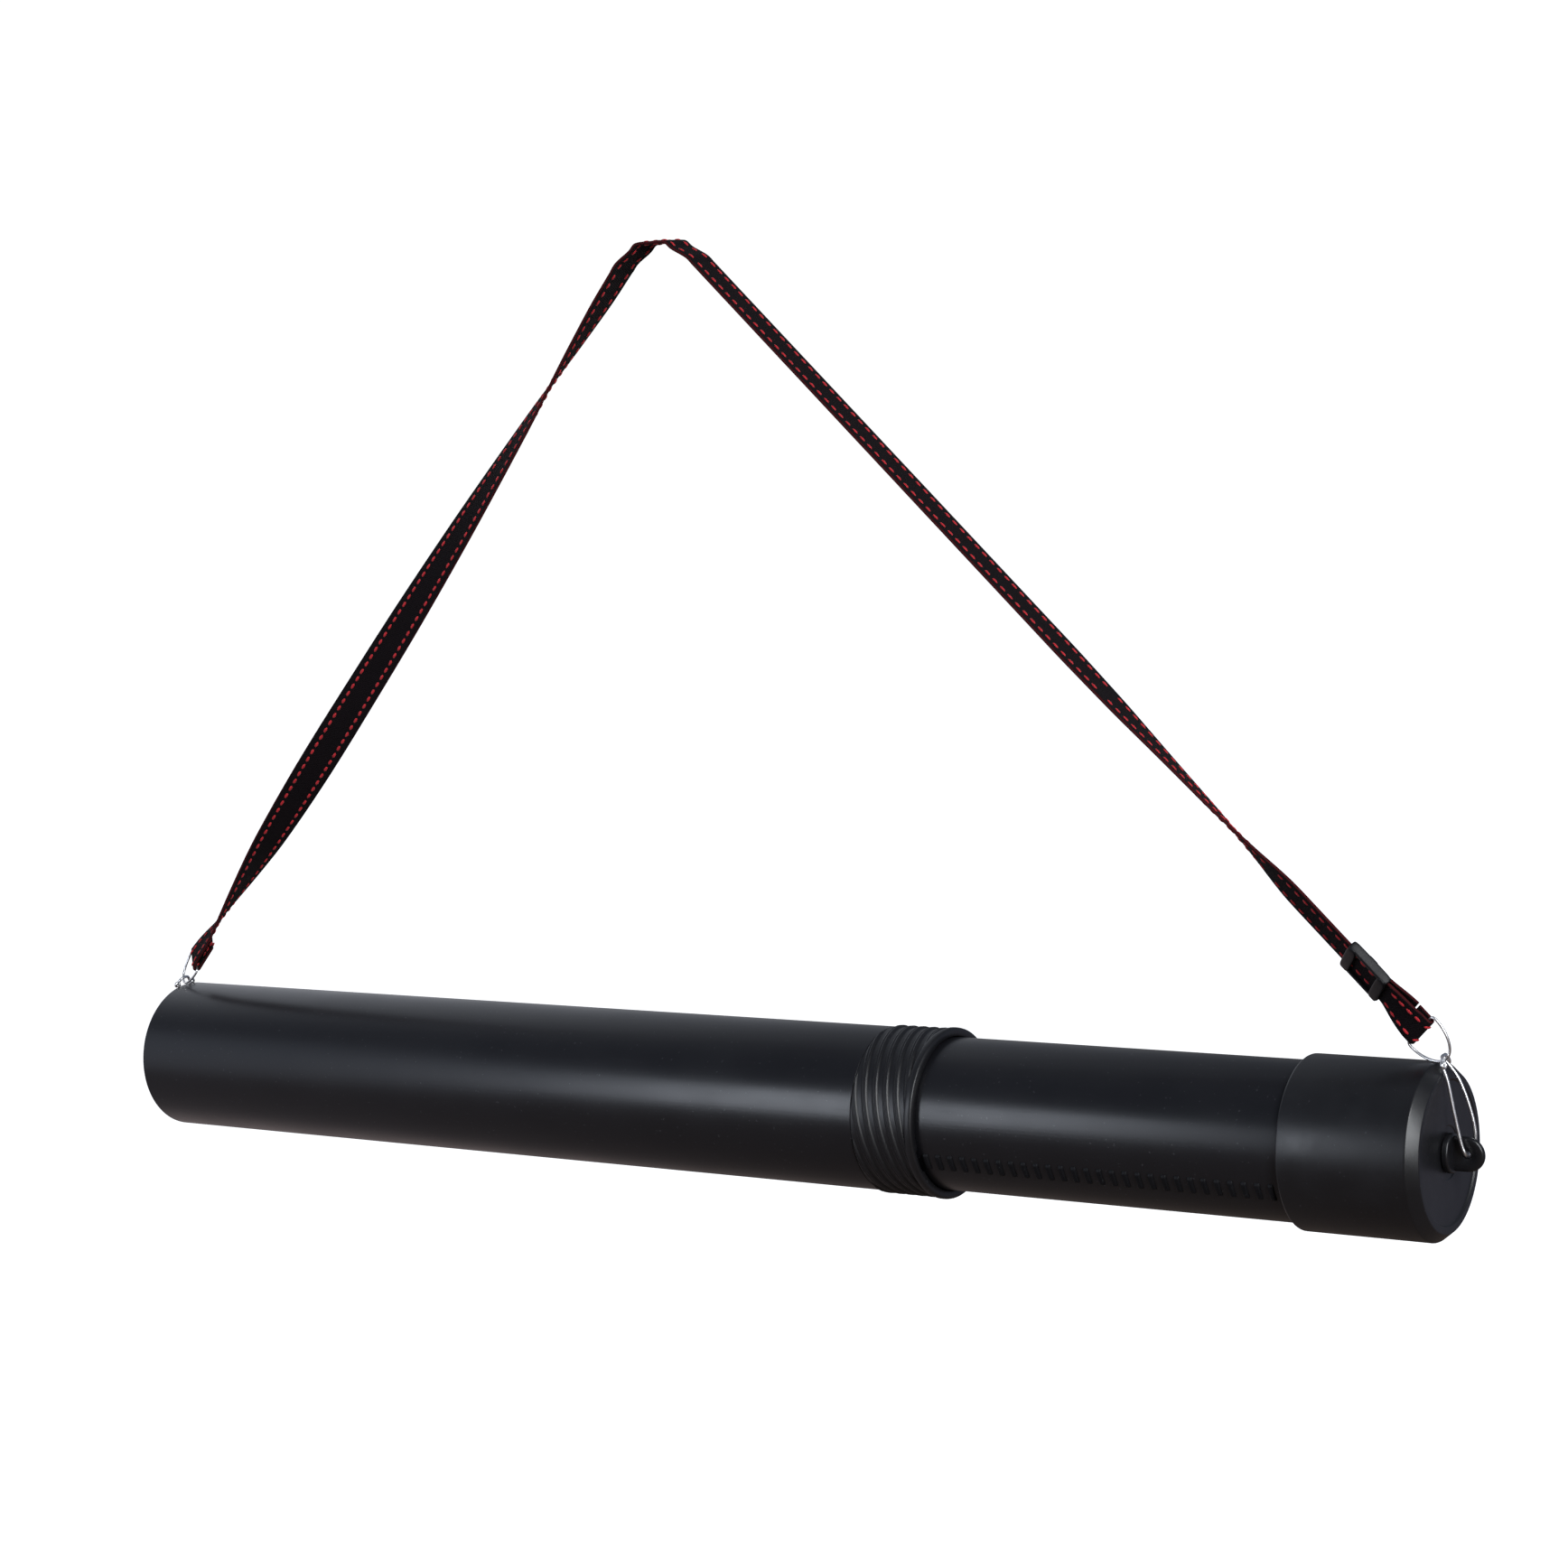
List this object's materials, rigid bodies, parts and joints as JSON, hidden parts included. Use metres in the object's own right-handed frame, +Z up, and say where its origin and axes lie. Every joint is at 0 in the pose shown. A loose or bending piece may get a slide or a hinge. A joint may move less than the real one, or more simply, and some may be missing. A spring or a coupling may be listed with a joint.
{
  "type": "drawing tube",
  "caption": "Telescopic round drawing tube with ribbed lock collar, push-on end cap and a stitched webbing shoulder strap on wire hooks and D-rings.",
  "frame": {"origin": "middle of the flat underside of the strap's top, where the strap rests on what holds it", "axes": "+X along the tube from its closed end to its cap, +Z up, -Y the side that shows the row of lock ribs"},
  "size_m": [0.8365, 0.088, 0.4983],
  "materials": {
    "tube_plastic": "satin black extruded plastic with a faint lengthwise grain",
    "collar_plastic": "satin black moulded plastic",
    "cap_plastic": "satin black moulded plastic with a slightly shinier bevel",
    "fitting_plastic": "matt black moulded plastic",
    "slider_plastic": "half-gloss black moulded plastic",
    "spring_wire": "bright nickel-plated spring wire",
    "washer_steel": "plain zinc-plated steel",
    "webbing": "flat woven black webbing with red stitching in two rows"
  },
  "bodies": {
    "inner_tube": {"inner_tube": "tube_plastic", "stop_ring": "fitting_plastic", "strap_top": "webbing", "strap_left_run": "webbing", "strap_right_run": "webbing"},
    "bottom_eye": {"bottom_eye": "fitting_plastic", "bottom_eye_washer": "washer_steel", "strap_left_lower": "webbing"},
    "outer_tube": {"outer_tube": "tube_plastic", "bottom_plug": "tube_plastic", "lock_collar": "collar_plastic"},
    "bottom_hook": {"bottom_hook": "spring_wire", "bottom_ring": "spring_wire", "strap_left_loop": "webbing"},
    "cap_eye": {"cap_eye": "fitting_plastic", "cap_eye_washer": "washer_steel", "strap_right_lower": "webbing"},
    "end_cap": {"end_cap": "cap_plastic"},
    "cap_hook": {"cap_hook": "spring_wire", "cap_ring": "spring_wire", "strap_right_end": "webbing", "strap_right_loop": "webbing", "strap_tail": "webbing"},
    "strap_slider": {"strap_slider": "slider_plastic"}
  },
  "joints": [
    {"name": "telescope", "type": "slide", "parent": "inner_tube", "child": "bottom_eye", "axis": [-1, 0, 0], "range_m": [-0.196, 0.224], "deforming": ["strap_left_run"]},
    {"name": "twist_lock", "type": "hinge", "parent": "bottom_eye", "child": "outer_tube", "pos_m": [-0.4017, 0, -0.4527], "axis": [1, 0, 0], "range_deg": [0, 45]},
    {"name": "bottom_hook_swing", "type": "hinge", "parent": "bottom_eye", "child": "bottom_hook", "pos_m": [-0.4017, 0, -0.4527], "axis": [0, -1, 0], "range_deg": [0, 20], "deforming": ["strap_left_lower"]},
    {"name": "cap_pull", "type": "slide", "parent": "inner_tube", "child": "cap_eye", "axis": [1, 0, 0], "range_m": [0, 0.075], "deforming": ["strap_right_run"]},
    {"name": "cap_turn", "type": "hinge", "parent": "cap_eye", "child": "end_cap", "pos_m": [0.418, 0, -0.4527], "axis": [1, 0, 0], "continuous": true},
    {"name": "cap_hook_swing", "type": "hinge", "parent": "cap_eye", "child": "cap_hook", "pos_m": [0.418, 0, -0.4527], "axis": [0, 1, 0], "range_deg": [0, 20], "deforming": ["strap_right_lower"]},
    {"name": "slider_slide", "type": "slide", "parent": "cap_hook", "child": "strap_slider", "axis": [-0.6963, 0, 0.7177], "range_m": [0, 0.04], "deforming": ["strap_tail"]}
  ]
}
